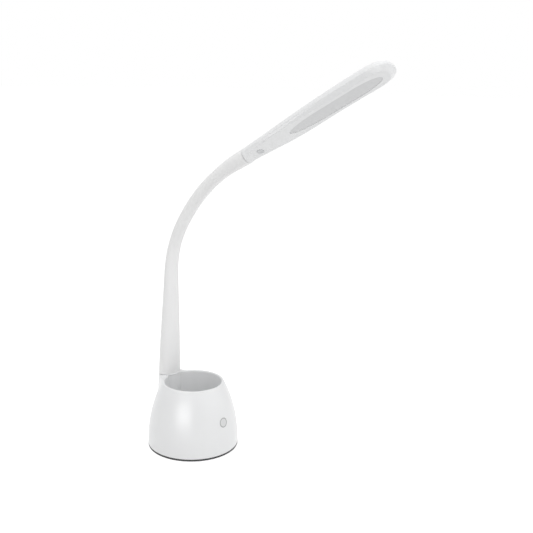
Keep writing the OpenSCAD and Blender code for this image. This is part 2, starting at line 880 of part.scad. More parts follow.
// Leads from the gooseneck to the switch and on to the light board
module head_lead() {
    color(black) at_head() {
        translate([0, 0, core_in_head + 0.2])
            cylinder(r = lead_r, h = lead_rise_s - core_in_head - 0.2, $fn = small_fn);
        translate([0, 0, lead_rise_s]) sphere(r = lead_r, $fn = small_fn);
        translate([0, 0, lead_rise_s]) rotate([-90, 0, 0])
            cylinder(r = lead_r, h = switch_board_v, $fn = small_fn);
        translate([0, lead_v, switch_board_end])
            cylinder(r = lead_r, h = lead_end_s - switch_board_end, $fn = small_fn);
    }
}

module head_button() {
    low = pocket_low + slip;
    color(grey) at_head() translate([0, 0, button_s]) rotate([-90, 0, 0]) {
        translate([0, 0, -flat_depth - button_proud])
            cylinder(r = button_r, h = low + flat_depth + button_proud + eps, $fn = small_fn);
        translate([0, 0, low]) cylinder(r = button_r + 1, h = button_flange_t, $fn = small_fn);
    }
}

foot_pad();
bottom_cover();
cover_screws();
counterweight();
base_shell();
pen_cup();
touch_button();
touch_board();
board_spacers();
driver_board();
inlet_jack();
arm_socket();
arm_washer();
arm_nut();
arm_lead();
sleeve_foot();
core_foot();
sleeve_flex_side();
core_flex_side();
sleeve_low();
core_low();
sleeve_flex_low();
core_flex_low();
sleeve_mid();
core_mid();
sleeve_flex_mid();
core_flex_mid();
sleeve_high();
core_high();
sleeve_flex_high();
core_flex_high();
sleeve_end();
core_end();
neck_ring();
head_top_shell();
head_bottom_shell();
diffuser();
led_board();
led_chips();
heat_spreader();
head_screws();
neck_bush();
switch_board();
head_lead();
head_button();
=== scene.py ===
"""Looks of the desk lamp: smooth skins over the CAD solids, materials, lamps and camera."""
import json
import math

import bmesh
import bpy
import numpy as np
from mathutils import Matrix, Vector
from mathutils.geometry import delaunay_2d_cdt


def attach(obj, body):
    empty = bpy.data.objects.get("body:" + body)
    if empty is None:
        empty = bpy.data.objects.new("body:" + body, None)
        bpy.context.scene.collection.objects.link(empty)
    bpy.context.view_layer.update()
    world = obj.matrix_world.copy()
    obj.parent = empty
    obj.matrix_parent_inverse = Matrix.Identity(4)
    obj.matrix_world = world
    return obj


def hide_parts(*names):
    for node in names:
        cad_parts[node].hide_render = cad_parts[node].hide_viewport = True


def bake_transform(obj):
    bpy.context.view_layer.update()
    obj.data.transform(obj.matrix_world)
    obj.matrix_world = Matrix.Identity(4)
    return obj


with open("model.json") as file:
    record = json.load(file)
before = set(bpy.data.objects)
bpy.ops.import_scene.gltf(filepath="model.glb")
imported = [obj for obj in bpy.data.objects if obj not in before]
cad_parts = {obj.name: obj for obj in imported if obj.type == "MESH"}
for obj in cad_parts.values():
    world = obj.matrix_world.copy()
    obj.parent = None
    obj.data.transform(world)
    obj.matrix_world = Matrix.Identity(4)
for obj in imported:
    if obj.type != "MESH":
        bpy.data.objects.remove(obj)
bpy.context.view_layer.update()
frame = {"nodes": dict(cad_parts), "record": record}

MM = 0.001
TINY = 1e-6
SAME_PLACE = 2e-6  # metres within which two points are one

# ---------- sizes, in millimetres: the CAD's own values, but for the boss's blend ----------

SEAM_GAP = 0.4

# Arm
ARM_Y, ARM_Z = 46.2, 88.2
STRAIGHT_LEN = 142.5
ARM_HEADING, BEND1_HEADING, END_HEADING = 92.0, 120.0, 180.0 - 28.3
BEND1_R, BEND2_R = 132.0, 244.0
END_LEN = 22.0
SLEEVE_FOOT_R, SLEEVE_SLIM_R, NECK_R = 14.6, 8.2, 10.0
SLEEVE_TAPER, SLEEVE_FLARE = 185.0, 66.0
SEAM_SLOPE = 12.0
FLEX_LEN, MID_LEAD = 44.0, 15.0
CORE_R, CORE_BORE_R = 5.0, 2.2

# Head
HEAD_TURN = 25.0
HEAD_LEN, TIP_LEN, WIDEN_LEN, FLAT_LEN = 219.0, 28.5, 150.0, 12.0
HEAD_HALF_W, FLAT_DEPTH, TOP_HEIGHT = 16.0, 5.2, 10.9
CHAMFER_W, CHAMFER_H, CHAMFER_FROM = 4.4, 4.0, 60.0
NECK_CHAMFER_W, NECK_CHAMFER_H, SLIM_CHAMFER = 1.6, 4.6, 0.7
CHAMFER_TIP, CHAMFER_TIP_H = 5.5, 5.2
CROWN_R, TIP_CROWN, TIP_DROP, CROWN_SHARE = 8.5, 13.0, 1.5, 0.75
PART_V, PART_OVER = -1.2, 0.3
EDGE_R, CREASE_R = 0.5, 0.25
WIDEN_POWER, TIP_POWER = 1.3, 2.4

# Base
BASE_R, BELL_START_Z, RIM_Z, CUP_R, LIP_R, LIP_STEP = 60.3, 8.0, 88.5, 37.7, 1.9, 0.15
SHELL_TOP_Z = RIM_Z - LIP_R
BELL_RISE, BELL_IN = RIM_Z - LIP_R - BELL_START_Z, BASE_R - CUP_R - 2 * LIP_R - LIP_STEP
BELL_CURVE_R = (BELL_IN ** 2 + BELL_RISE ** 2) / (2 * BELL_IN)

# Boss, as it is blended into the bell
BOSS_R, BOSS_FLARE, BOSS_FLARE_H, BOSS_FILLET, BAND_TOP = 14.9, 2.2, 28.0, 150.0, 3.2
BOSS_LIP_R, BOSS_EDGE_R = 0.75, 2.2

# Diffuser and buttons
LENS_HALF_W, LENS_START, LENS_LEN, LENS_POINT, LENS_ROUND = 8.0, 71.0, 133.0, 50.0, 36.0
LENS_RECESS, FLANGE_LOW = 0.3, -2.6
BUTTON_R, BUTTON_S, BUTTON_PROUD = 4.3, 22.0, 0.6
SLIP = 0.1
TOUCH_Z, TOUCH_R = 45.0, 6.7

TIP_S = HEAD_LEN - TIP_LEN
BEND1_S = STRAIGHT_LEN
BEND2_S = BEND1_S + BEND1_R * math.radians(BEND1_HEADING - ARM_HEADING)
END_S = BEND2_S + BEND2_R * math.radians(END_HEADING - BEND1_HEADING)
ARM_LEN = END_S + END_LEN


# ---------- curves ----------

def ease(t):
    c = min(1.0, max(0.0, t))
    return c * c * (3 - 2 * c)


def mix(a, b, t):
    return a + (b - a) * t


def turned(p, r, h1, h2):
    """The point p moved along a bend of radius r, from heading h1 to h2."""
    a, b = math.radians(h1), math.radians(h2)
    return (p[0] + r * (math.sin(b) - math.sin(a)), p[1] + r * (math.cos(a) - math.cos(b)))


def along(p, heading, length):
    """The point p moved straight on."""
    a = math.radians(heading)
    return (p[0] + length * math.cos(a), p[1] + length * math.sin(a))


BEND1_START = along((ARM_Y, ARM_Z), ARM_HEADING, STRAIGHT_LEN)
BEND2_START = turned(BEND1_START, BEND1_R, ARM_HEADING, BEND1_HEADING)
END_START = turned(BEND2_START, BEND2_R, BEND1_HEADING, END_HEADING)


def arm_heading(s):
    """Heading of the arm in degrees at s from its foot."""
    if s < BEND1_S:
        return ARM_HEADING
    if s < BEND2_S:
        return ARM_HEADING + math.degrees((s - BEND1_S) / BEND1_R)
    if s < END_S:
        return BEND1_HEADING + math.degrees((s - BEND2_S) / BEND2_R)
    return END_HEADING


def arm_point(s):
    """Point of the arm's centreline."""
    if s < BEND1_S:
        y, z = along((ARM_Y, ARM_Z), ARM_HEADING, s)
    elif s < BEND2_S:
        y, z = turned(BEND1_START, BEND1_R, ARM_HEADING, arm_heading(s))
    elif s < END_S:
        y, z = turned(BEND2_START, BEND2_R, BEND1_HEADING, arm_heading(s))
    else:
        y, z = along(END_START, END_HEADING, s - END_S)
    return np.array([0.0, y, z])


def arm_axes(s):
    """(across, upper side, along) of the arm at s."""
    a = math.radians(arm_heading(s))
    return (
        np.array([1.0, 0.0, 0.0]),
        np.array([0.0, math.sin(a), -math.cos(a)]),
        np.array([0.0, math.cos(a), math.sin(a)]),
    )


def sleeve_radius(s):
    t = min(1.0, max(0.0, s) / SLEEVE_TAPER)
    taper = (1 - t) / 2 + (1 + math.cos(math.pi * t)) / 4
    flare = ease((s - ARM_LEN + SLEEVE_FLARE) / SLEEVE_FLARE)
    narrowing = (SLEEVE_FOOT_R - SLEEVE_SLIM_R) * taper
    return SLEEVE_SLIM_R + narrowing + (NECK_R - SLEEVE_SLIM_R) * flare


# ---------- materials ----------

GRAIN_DETAIL, GRAIN_DEPTH = 3.0, 0.0002  # the depth in metres
DRIFT_SCALE, DRIFT_DETAIL, LIGHTER_SHARE = 22.0, 4.0, 0.4
GLOSS_LOW, GLOSS_HIGH = 0.88, 1.12
STREAK_STRETCH, STREAK_LOW, STREAK_HIGH = 12.0, 0.7, 1.3
TOUCH_RINGS = [(5.1, 0.84), (6.4, 0.5), (TOUCH_R + 1, 1.0)]


def new_material(name):
    material = bpy.data.materials.new(name)
    material.use_nodes = True
    nodes, links = material.node_tree.nodes, material.node_tree.links
    return material, nodes, links, nodes["Principled BSDF"]


def moulded(name, colour, roughness, grain=900.0, bump=0.04, vary=0.03):
    """Moulded plastic or rubber: a fine grain, and colour and gloss that drift a little."""
    material, nodes, links, shader = new_material(name)
    where = nodes.new("ShaderNodeTexCoord")
    fine = nodes.new("ShaderNodeTexNoise")
    fine.inputs["Scale"].default_value = grain
    fine.inputs["Detail"].default_value = GRAIN_DETAIL
    links.new(where.outputs["Object"], fine.inputs["Vector"])
    broad = nodes.new("ShaderNodeTexNoise")
    broad.inputs["Scale"].default_value = DRIFT_SCALE
    broad.inputs["Detail"].default_value = DRIFT_DETAIL
    links.new(where.outputs["Object"], broad.inputs["Vector"])
    tint = nodes.new("ShaderNodeMapRange")
    tint.inputs["To Min"].default_value = 1.0 - vary
    tint.inputs["To Max"].default_value = 1.0 + vary * LIGHTER_SHARE
    links.new(broad.outputs["Fac"], tint.inputs["Value"])
    paint = nodes.new("ShaderNodeVectorMath")
    paint.operation = "SCALE"
    paint.inputs[0].default_value = colour
    links.new(tint.outputs["Result"], paint.inputs["Scale"])
    links.new(paint.outputs["Vector"], shader.inputs["Base Color"])
    gloss = nodes.new("ShaderNodeMapRange")
    gloss.inputs["To Min"].default_value = roughness * GLOSS_LOW
    gloss.inputs["To Max"].default_value = roughness * GLOSS_HIGH
    links.new(broad.outputs["Fac"], gloss.inputs["Value"])
    links.new(gloss.outputs["Result"], shader.inputs["Roughness"])
    relief = nodes.new("ShaderNodeBump")
    relief.inputs["Strength"].default_value = bump
    relief.inputs["Distance"].default_value = GRAIN_DEPTH
    links.new(fine.outputs["Fac"], relief.inputs["Height"])
    links.new(relief.outputs["Normal"], shader.inputs["Normal"])
    return material


def ringed(material, centre, axis, rings):
    """Tints a material in rings round an axis. Each of rings is (radius it reaches in mm, tint)."""
    nodes, links = material.node_tree.nodes, material.node_tree.links
    where = nodes.new("ShaderNodeTexCoord")
    offset = nodes.new("ShaderNodeVectorMath")
    offset.operation = "SUBTRACT"
    offset.inputs[1].default_value = [c * MM for c in centre]
    links.new(where.outputs["Object"], offset.inputs[0])
    from_axis = nodes.new("ShaderNodeVectorMath")
    from_axis.operation = "CROSS_PRODUCT"
    from_axis.inputs[1].default_value = axis
    links.new(offset.outputs["Vector"], from_axis.inputs[0])
    distance = nodes.new("ShaderNodeVectorMath")
    distance.operation = "LENGTH"
    links.new(from_axis.outputs["Vector"], distance.inputs[0])
    share = nodes.new("ShaderNodeMapRange")
    share.inputs["From Max"].default_value = rings[-1][0] * MM
    links.new(distance.outputs["Value"], share.inputs["Value"])
    ramp = nodes.new("ShaderNodeValToRGB")
    ramp.color_ramp.interpolation = "CONSTANT"
    stops = ramp.color_ramp.elements
    starts = [0.0] + [r / rings[-1][0] for r, _ in rings[:-1]]
    for i, (start, (_, tint)) in enumerate(zip(starts, rings)):
        stop = stops[i] if i < 2 else stops.new(start)  # a new ramp has two stops
        stop.position = start
        stop.color = (tint, tint, tint, 1.0)
    links.new(share.outputs["Result"], ramp.inputs["Fac"])
    paint = nodes.new("ShaderNodeVectorMath")
    paint.operation = "MULTIPLY"
    shader = nodes["Principled BSDF"]
    links.new(shader.inputs["Base Color"].links[0].from_socket, paint.inputs[0])
    links.new(ramp.outputs["Color"], paint.inputs[1])
    links.new(paint.outputs["Vector"], shader.inputs["Base Color"])
    return material


def metal(name, colour, roughness, grain):
    """Turned or rolled metal with fine streaks across it."""
    material, nodes, links, shader = new_material(name)
    where = nodes.new("ShaderNodeTexCoord")
    stretch = nodes.new("ShaderNodeMapping")
    stretch.inputs["Scale"].default_value = (1.0, 1.0, STREAK_STRETCH)
    links.new(where.outputs["Object"], stretch.inputs["Vector"])
    streaks = nodes.new("ShaderNodeTexNoise")
    streaks.inputs["Scale"].default_value = grain
    links.new(stretch.outputs["Vector"], streaks.inputs["Vector"])
    gloss = nodes.new("ShaderNodeMapRange")
    gloss.inputs["To Min"].default_value = roughness * STREAK_LOW
    gloss.inputs["To Max"].default_value = roughness * STREAK_HIGH
    links.new(streaks.outputs["Fac"], gloss.inputs["Value"])
    links.new(gloss.outputs["Result"], shader.inputs["Roughness"])
    shader.inputs["Base Color"].default_value = (*colour, 1.0)
    shader.inputs["Metallic"].default_value = 1.0
    return material


WHITE, WHITE_ROUGHNESS, WHITE_BUMP = (0.80, 0.805, 0.81), 0.32, 0.03
white_gloss = moulded("white_gloss_plastic", WHITE, WHITE_ROUGHNESS, bump=WHITE_BUMP)
sleeve_white = moulded("sleeve_white", (0.83, 0.83, 0.83), 0.5, grain=1400.0, bump=0.06)
diffuser_white = moulded(
    "diffuser_plastic", (0.65, 0.655, 0.66), 0.35, grain=2500.0, bump=0.1, vary=0.02)
button_grey = moulded("button_plastic", (0.60, 0.61, 0.62), 0.3)
steel = metal("steel", (0.55, 0.56, 0.57), 0.3, 300.0)

SLOT_MATERIALS = {
    "pad_rubber": moulded("pad_rubber", (0.018, 0.018, 0.02), 0.8, grain=1800.0, bump=0.2),
    "black_plastic": moulded("black_plastic", (0.014, 0.014, 0.016), 0.45, bump=0.08),
    "white_plastic": white_gloss,
    "sleeve_white": sleeve_white,
    "diffuser_plastic": diffuser_white,
    "button_grey": button_grey,
    "steel": steel,
    "iron": moulded("cast_iron", (0.05, 0.05, 0.053), 0.75, grain=700.0, bump=0.35),
    "aluminium": metal("aluminium", (0.72, 0.73, 0.74), 0.35, 220.0),
    "board_green": moulded("circuit_board", (0.03, 0.16, 0.06), 0.35, grain=500.0, bump=0.1),
    "chip_yellow": moulded("light_chip", (0.85, 0.72, 0.25), 0.4),
}

for part in frame["record"]["subparts"]:
    cad_mesh = frame["nodes"][part["node"]].data
    cad_mesh.materials.clear()
    cad_mesh.materials.append(SLOT_MATERIALS[part["material_slot"]])

# the touch button's ring, which faces square to the bell
touch_tilt = math.asin((TOUCH_Z - BELL_START_Z) / BELL_CURVE_R)
touch_y = BASE_R - BELL_CURVE_R * (1 - math.cos(touch_tilt))
touch_white = ringed(
    moulded("touch_plastic", WHITE, WHITE_ROUGHNESS, bump=WHITE_BUMP),
    (0.0, -touch_y, TOUCH_Z), (0.0, -math.cos(touch_tilt), math.sin(touch_tilt)), TOUCH_RINGS)
touch_mesh = frame["nodes"]["touch_button"].data
touch_mesh.materials.clear()
touch_mesh.materials.append(touch_white)


# ---------- making pieces ----------

SHARP_DEG, HEAD_SHARP_DEG = 50.0, 32.0
ROUND_SIDES = 64


def add_piece(name, points, faces, material, normals=None):
    """A mesh object from points in millimetres, smooth, with a normal per point where given."""
    mesh = bpy.data.meshes.new(name)
    mesh.from_pydata([tuple(p * MM for p in point) for point in points], [], faces)
    mesh.materials.append(material)
    mesh.shade_smooth()
    if normals is not None:
        mesh.normals_split_custom_set_from_vertices([tuple(n) for n in normals])
    obj = bpy.data.objects.new(name, mesh)
    bpy.context.scene.collection.objects.link(obj)
    return obj


def ring_faces(count, n, closed=True):
    """Faces between each two of count rings of n points."""
    return [
        (i * n + k, i * n + (k + 1) % n, (i + 1) * n + (k + 1) % n, (i + 1) * n + k)
        for i in range(count - 1)
        for k in range(n if closed else n - 1)
    ]


def tube(path, radius, sides=16):
    """A closed tube along a list of points."""
    path = [np.array(p, float) for p in path]
    points = []
    for i, p in enumerate(path):
        forward = path[min(i + 1, len(path) - 1)] - path[max(i - 1, 0)]
        forward = forward / np.linalg.norm(forward)
        out = np.cross(forward, (0.0, 0.0, 1.0))
        out = out / np.linalg.norm(out)
        up_side = np.cross(out, forward)
        for k in range(sides):
            a = 2 * math.pi * k / sides
            points.append(p + radius * (out * math.cos(a) + up_side * math.sin(a)))
    faces = ring_faces(len(path), sides)
    return points, faces + [tuple(range(sides)), tuple(range(len(points) - sides, len(points)))]


def weld(obj, sharp_deg):
    """Joins doubled points, faces the surface outwards and keeps only real edges sharp."""
    mesh = obj.data
    bm = bmesh.new()
    bm.from_mesh(mesh)
    bmesh.ops.remove_doubles(bm, verts=bm.verts, dist=SAME_PLACE)
    bmesh.ops.recalc_face_normals(bm, faces=bm.faces)
    middle = sum((v.co for v in bm.verts), Vector()) / len(bm.verts)
    outwards = sum(
        f.calc_area() * f.normal.dot(f.calc_center_median() - middle) for f in bm.faces)
    if outwards < 0:
        bmesh.ops.reverse_faces(bm, faces=bm.faces)
    bm.to_mesh(mesh)
    bm.free()
    mesh.shade_smooth()
    mesh.set_sharp_from_angle(angle=math.radians(sharp_deg))


# ---------- boss, blended into the bell ----------

# how far the skin stands out from the solid boss at its sides, and in from it at its back
BOSS_PROUD, BOSS_SHY = 0.08, 0.03
# how far the skin stays under the bell, the seam and the shell's top
UNDER_BELL, UNDER_SEAM, UNDER_TOP = 0.05, 0.03, 0.05
# the shoulder's inner edge: its share of the way out at the back, then its step in, and its drop
SHOULDER_SHARE, SHOULDER_IN, SHOULDER_DROP = 0.9, 0.8, 0.1
RIM_DROP, RIM_TUCK = 0.2, 0.15
SHOULDER_STEPS = (0.04, 0.1, 0.2, 0.35, 0.6, 1.0)
EDGE_FADE = 4  # the shoulder's rounding fades in and out over a quarter of the fillet
SIDE_SAMPLES, HALVINGS = 721, 40
BOSS_SIDE_STEPS, BOSS_FILLET_STEPS, BOSS_ROWS = 24, 24, 48
SECTION_TOP, SECTION_STEP = 92.0, 1.0
LIP_FROM, LIP_TO, LIP_STEPS, LIP_PROUD, LIP_UNDER = -18.0, -162.0, 60, 0.2, 0.05


def bell_r(z):
    """Outer radius of the bell at z."""
    rise = max(0.0, z - BELL_START_Z)
    return BASE_R - BELL_CURVE_R + math.sqrt(BELL_CURVE_R ** 2 - rise ** 2)


def seam_z(y):
    """Height of the seam between boss and arm."""
    return ARM_Z - (y - ARM_Y) * math.tan(math.radians(SEAM_SLOPE))


def boss_section(z):
    """Half outline at z: from the boss's back round its side, then along a fillet to the bell."""
    flare = BOSS_FLARE * ease((RIM_Z - z) / BOSS_FLARE_H)
    half_w, half_d = BOSS_R + BOSS_PROUD + flare, BOSS_R - BOSS_SHY
    angles = np.radians(np.linspace(90, -90, SIDE_SAMPLES))
    side = np.stack([half_w * np.cos(angles), ARM_Y + half_d * np.sin(angles)], 1)
    # the fillet's centre lies where its circle just touches the side
    radius = bell_r(z) - UNDER_BELL + BOSS_FILLET
    near, far = 0.0, math.pi / 2
    for _ in range(HALVINGS):
        turn = (near + far) / 2
        centre = radius * np.array([math.sin(turn), math.cos(turn)])
        reach = np.linalg.norm(side - centre, axis=1)
        near, far = (turn, far) if reach.min() < BOSS_FILLET else (near, turn)
    touch = reach.argmin()
    start = math.atan2(*(side[touch] - centre)[::-1]) % (2 * math.pi)
    end = math.atan2(*-centre[::-1]) % (2 * math.pi)
    section = [side[round(touch * i / BOSS_SIDE_STEPS)] for i in range(BOSS_SIDE_STEPS)]
    for i in range(BOSS_FILLET_STEPS + 1):
        a = mix(start, end, i / BOSS_FILLET_STEPS)
        section.append(centre + BOSS_FILLET * np.array([math.cos(a), math.sin(a)]))
    return np.array(section)


def boss_skin_mesh():
    """The boss's side, its fillets and a rounded shoulder under the seam."""
    heights = np.arange(BAND_TOP, SECTION_TOP, SECTION_STEP)
    sections = np.array([boss_section(z) for z in heights])
    columns = sections.shape[1]

    def at(column, z):
        return [np.interp(z, heights, sections[:, column, axis]) for axis in (0, 1)]

    # where the solid boss meets the top of the shell
    corner = math.asin(
        ((bell_r(SHELL_TOP_Z)) ** 2 - BOSS_R ** 2 - ARM_Y ** 2) / (2 * BOSS_R * ARM_Y))
    corner_xy = (BOSS_R * math.cos(corner), ARM_Y + BOSS_R * math.sin(corner))
    end_x, end_y = at(columns - 1, SHELL_TOP_Z)

    def shoulder_inner(k, x, y, top):
        """The shoulder's inner edge at k along the fillet: on the boss, then behind the lip."""
        if k == 0.0:
            return SHOULDER_SHARE * x, ARM_Y + SHOULDER_SHARE * (y - ARM_Y), top - SHOULDER_DROP
        if k < 0.5:
            a = mix(math.atan2(y - ARM_Y, x), corner, k * 2)
            inner_y = ARM_Y + (BOSS_R - SHOULDER_IN) * math.sin(a)
            return (BOSS_R - SHOULDER_IN) * math.cos(a), inner_y, seam_z(inner_y) - SHOULDER_DROP
        a = mix(math.atan2(*corner_xy), math.atan2(end_x, end_y), k * 2 - 1)
        z = mix(RIM_Z - RIM_DROP, SHELL_TOP_Z, k * 2 - 1)
        r = CUP_R + LIP_R - RIM_TUCK + math.sqrt(LIP_R ** 2 - (z - SHELL_TOP_Z) ** 2)
        return r * math.sin(a), r * math.cos(a), z

    half = []
    for column in range(columns):
        k = max(0.0, (column - BOSS_SIDE_STEPS) / (columns - 1 - BOSS_SIDE_STEPS))
        top = seam_z(at(column, ARM_Z)[1]) - UNDER_SEAM
        top = mix(top, SHELL_TOP_Z - UNDER_TOP, ease(k))
        edge_r = BOSS_EDGE_R * ease(k * EDGE_FADE) * ease((1 - k) * EDGE_FADE)
        levels = [mix(BAND_TOP, top - edge_r, i / (BOSS_ROWS - 1)) for i in range(BOSS_ROWS)]
        rows = [(*at(column, z), z) for z in levels]
        x, y, _ = rows[-1]
        inner = shoulder_inner(k, x, y, top)
        width = max(TINY, math.hypot(inner[0] - x, inner[1] - y))
        for u in SHOULDER_STEPS:
            reach = min(1.0, u * width / max(edge_r, TINY))
            fall = edge_r * (1 - math.sqrt(max(0.0, 1 - (1 - reach) ** 2)))
            rows.append((mix(x, inner[0], u), mix(y, inner[1], u), mix(top, inner[2], u) - fall))
        half.append(rows)
    both = [[(-x, y, z) for x, y, z in rows] for rows in reversed(half[1:])] + half
    points = [p for rows in both for p in rows]
    return points, ring_faces(len(both), len(half[0]), closed=False)


def lip_path():
    """The line of the thin lip along the front of the boss, just under the seam."""
    path = []
    for i in range(LIP_STEPS + 1):
        a = math.radians(mix(LIP_FROM, LIP_TO, i / LIP_STEPS))
        y = ARM_Y + (BOSS_R + LIP_PROUD) * math.sin(a)
        path.append(((BOSS_R + LIP_PROUD) * math.cos(a), y, seam_z(y) - BOSS_LIP_R - LIP_UNDER))
    return path


boss_skin = add_piece("boss_fillet_skin", *boss_skin_mesh(), white_gloss)
weld(boss_skin, SHARP_DEG)
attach(boss_skin, "base")

boss_lip = add_piece("boss_lip", *tube(lip_path(), BOSS_LIP_R), white_gloss)
weld(boss_lip, SHARP_DEG)
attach(boss_lip, "base")


# ---------- sleeve ----------

SLEEVE_SIDES, CORE_SIDES = 96, 32
SLEEVE_STEP, CORE_STEP, SLOPE_STEP = 1.5, 2.0, 0.5
ROUND_IN = [(0.0, 0.7), (0.06, 0.35), (0.25, 0.1), (0.55, 0.0)]  # (along, inwards) of an edge
END_INSET = 3.5  # how far in the skin goes where a stretch ends


def sleeve_vertex(s, angle, inset):
    """A point of the sleeve's skin, inset from its surface, and its normal."""
    across, upper, forward = arm_axes(s)
    out = across * math.cos(angle) + upper * math.sin(angle)
    slope = 0.0 if inset else sleeve_radius(s + SLOPE_STEP) - sleeve_radius(s - SLOPE_STEP)
    normal = out - forward * slope
    return arm_point(s) + out * (sleeve_radius(s) - inset), normal / np.linalg.norm(normal)


def sleeve_mesh(rows, place):
    """Skin from rows of (a, inset). place gives s from a and the angle round the sleeve."""
    points, normals = [], []
    for a, inset in rows:
        for k in range(SLEEVE_SIDES):
            angle = 2 * math.pi * k / SLEEVE_SIDES
            point, normal = sleeve_vertex(place(a, angle), angle, inset)
            points.append(point)
            normals.append(normal)
    return points, ring_faces(len(rows), SLEEVE_SIDES), sleeve_white, normals


def sleeve_piece(name, s1, s2, end_edge=False):
    steps = max(2, math.ceil((s2 - s1) / SLEEVE_STEP))
    rows = [(mix(s1, s2, i / steps), 0.0) for i in range(steps + 1)]
    if end_edge:
        rows = rows[:-1] + [(s2 - a, inset) for a, inset in reversed(ROUND_IN)]
        rows.append((s2, END_INSET))
    return add_piece(name, *sleeve_mesh(rows, lambda s, angle: s))


def foot_piece(name, s2):
    """The sleeve's foot, which starts at the sloping seam with a rounded edge."""
    slope, heading = math.tan(math.radians(SEAM_SLOPE)), math.radians(ARM_HEADING)
    upper = arm_axes(0.0)[1]
    steps = math.ceil(s2 / SLEEVE_STEP)

    def place(a, angle):
        # where the seam's plane cuts this line of the sleeve
        y = SLEEVE_FOOT_R * (upper[1] * math.sin(angle))
        start = (SEAM_GAP - y * slope) / math.sin(heading)
        return mix(start, s2, a / s2)

    rows = [(0.0, END_INSET)] + ROUND_IN + [(s2 * i / steps, 0.0) for i in range(1, steps + 1)]
    return add_piece(name, *sleeve_mesh(rows, place))


def core_piece(name, s1, s2):
    """A stretch of the steel core: a tube with closed ends."""
    steps = math.ceil((s2 - s1) / CORE_STEP)
    points = []
    for radius in (CORE_BORE_R, CORE_R):
        for i in range(steps + 1):
            s = mix(s1, s2, i / steps)
            across, upper, _ = arm_axes(s)
            for k in range(CORE_SIDES):
                a = 2 * math.pi * k / CORE_SIDES
                out = across * math.cos(a) + upper * math.sin(a)
                points.append(arm_point(s) + radius * out)
    layer = (steps + 1) * CORE_SIDES
    bore = ring_faces(steps + 1, CORE_SIDES)
    faces = [face[::-1] for face in bore] + [tuple(i + layer for i in face) for face in bore]
    for first, turn in ((0, 1), (steps * CORE_SIDES, -1)):
        for k in range(CORE_SIDES):
            m = (k + 1) % CORE_SIDES
            faces.append((first + k, first + m, first + m + layer, first + k + layer)[::turn])
    obj = add_piece(name, points, faces, steel)
    weld(obj, SHARP_DEG)
    return obj


def flex_span(hinge_s):
    return hinge_s - FLEX_LEN / 2, hinge_s + FLEX_LEN / 2


SIDE = flex_span(BEND1_S - FLEX_LEN / 2)
LOW = flex_span(BEND2_S - FLEX_LEN / 2)
MID = flex_span(BEND2_S + MID_LEAD + FLEX_LEN / 2)
HIGH = flex_span(END_S - FLEX_LEN / 2)

foot_skin = foot_piece("sleeve_foot_skin", SIDE[0])
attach(foot_skin, "base")
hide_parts("sleeve_foot")

for key, (s1, s2), body, edge in (
    ("low", (SIDE[1], LOW[0]), "arm_low", False),
    ("mid", (LOW[1], MID[0]), "arm_mid", False),
    ("high", (MID[1], HIGH[0]), "arm_high", False),
    ("end", (HIGH[1], ARM_LEN), "arm_end", True),
):
    skin = sleeve_piece(f"sleeve_{key}_skin", s1, s2, edge)
    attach(skin, body)
    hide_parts(f"sleeve_{key}")

for key, (s1, s2), body_a, body_b in (
    ("side", SIDE, "base", "arm_low"),
    ("low", LOW, "arm_low", "arm_mid"),
    ("mid", MID, "arm_mid", "arm_high"),
    ("high", HIGH, "arm_high", "arm_end"),
):
    skin = sleeve_piece(f"sleeve_flex_{key}_skin", s1, s2)
    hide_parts(f"sleeve_flex_{key}")
    tuple(arm_point(s1) * MM)
    tuple(arm_point(s2) * MM)
    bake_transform(skin)
    core = core_piece(f"core_flex_{key}_skin", s1, s2)
    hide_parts(f"core_flex_{key}")
    tuple(arm_point(s1) * MM)
    tuple(arm_point(s2) * MM)
    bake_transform(core)


# ---------- head ----------

# places on the round neck, in degrees, where the levels of the head's side start
FLAT_DEG, CREASE_DEG, PART_DEG = -78.0, -32.0, -18.0
CROWN_DEGS = (-6.0, 14.0, 34.0, 53.0, 72.0, 90.0)
CROWN_STEPS, CORNER_STEPS, CORNER_REACH = 18, 4, 0.45
# a point on the flat, which gives its edge a direction
FLAT_INNER = np.array([3.0, 3.0, 0.0, 0.0, -8.0])
# the groove at the parting line, as (inwards, from the line) of each shell's edge
GROOVE = ((0.0, 0.16), (0.05, 0.08), (0.9, 0.06))

EDGE_STATIONS = [(SEAM_GAP, END_INSET)] + [(SEAM_GAP + a, inset) for a, inset in ROUND_IN[:-1]]
LENGTH_STEPS, TIP_STEPS = 88, 40
SIDE_STATIONS = [1.2, 2.0] + [3.0 + SLEEVE_STEP * i for i in range(7)] + [
    mix(FLAT_LEN, TIP_S, i / LENGTH_STEPS) for i in range(1, LENGTH_STEPS + 1)]
TIP_ANGLES = [math.radians(90 * i / TIP_STEPS) for i in range(1, TIP_STEPS)]

HEAD_AT = arm_point(ARM_LEN)
ARM_ACROSS, ARM_UPPER, HEAD_ALONG = arm_axes(ARM_LEN)
TURN = math.radians(HEAD_TURN)
HEAD_ACROSS = ARM_ACROSS * math.cos(TURN) - ARM_UPPER * math.sin(TURN)
HEAD_UP = ARM_ACROSS * math.sin(TURN) + ARM_UPPER * math.cos(TURN)


def head_point(x, v, s):
    """From the head's own (across, up, along) to the shared frame."""
    return HEAD_AT + HEAD_ACROSS * x + HEAD_UP * v + HEAD_ALONG * s


def half_width(s):
    t = min(1.0, max(0.0, s) / WIDEN_LEN)
    return mix(NECK_R, HEAD_HALF_W, math.sin(math.pi / 2 * t) ** WIDEN_POWER)


